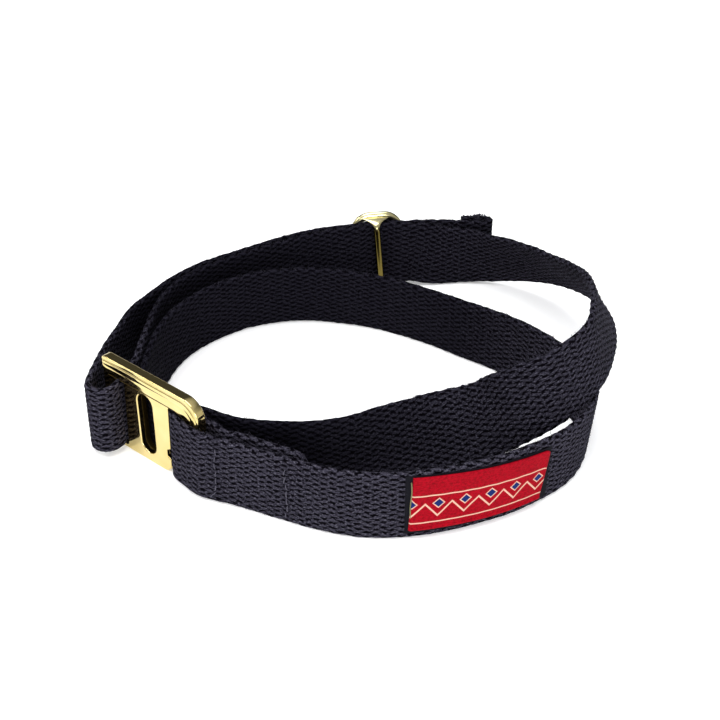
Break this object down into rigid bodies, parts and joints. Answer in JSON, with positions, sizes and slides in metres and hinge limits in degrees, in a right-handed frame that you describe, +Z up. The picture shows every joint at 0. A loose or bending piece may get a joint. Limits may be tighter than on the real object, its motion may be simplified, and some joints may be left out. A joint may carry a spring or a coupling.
{
  "type": "webbing belt",
  "caption": "Adjustable dark cotton webbing belt with brass hook buckle, brass slide and woven label, fastened and lying in two turns on its edge.",
  "frame": {"origin": "centre of the bounding box's bottom face, on the surface the belt stands on", "axes": "+X to the right along the front run, +Y from the buckle side towards the slide, +Z up"},
  "size_m": [0.1842, 0.1684, 0.0512],
  "materials": {
    "webbing": "matte",
    "label": "matte",
    "brass": "polished"
  },
  "bodies": {
    "root": {"webbing": "webbing", "label": "label", "hook_buckle": "brass", "slide": "brass"}
  },
  "joints": []
}
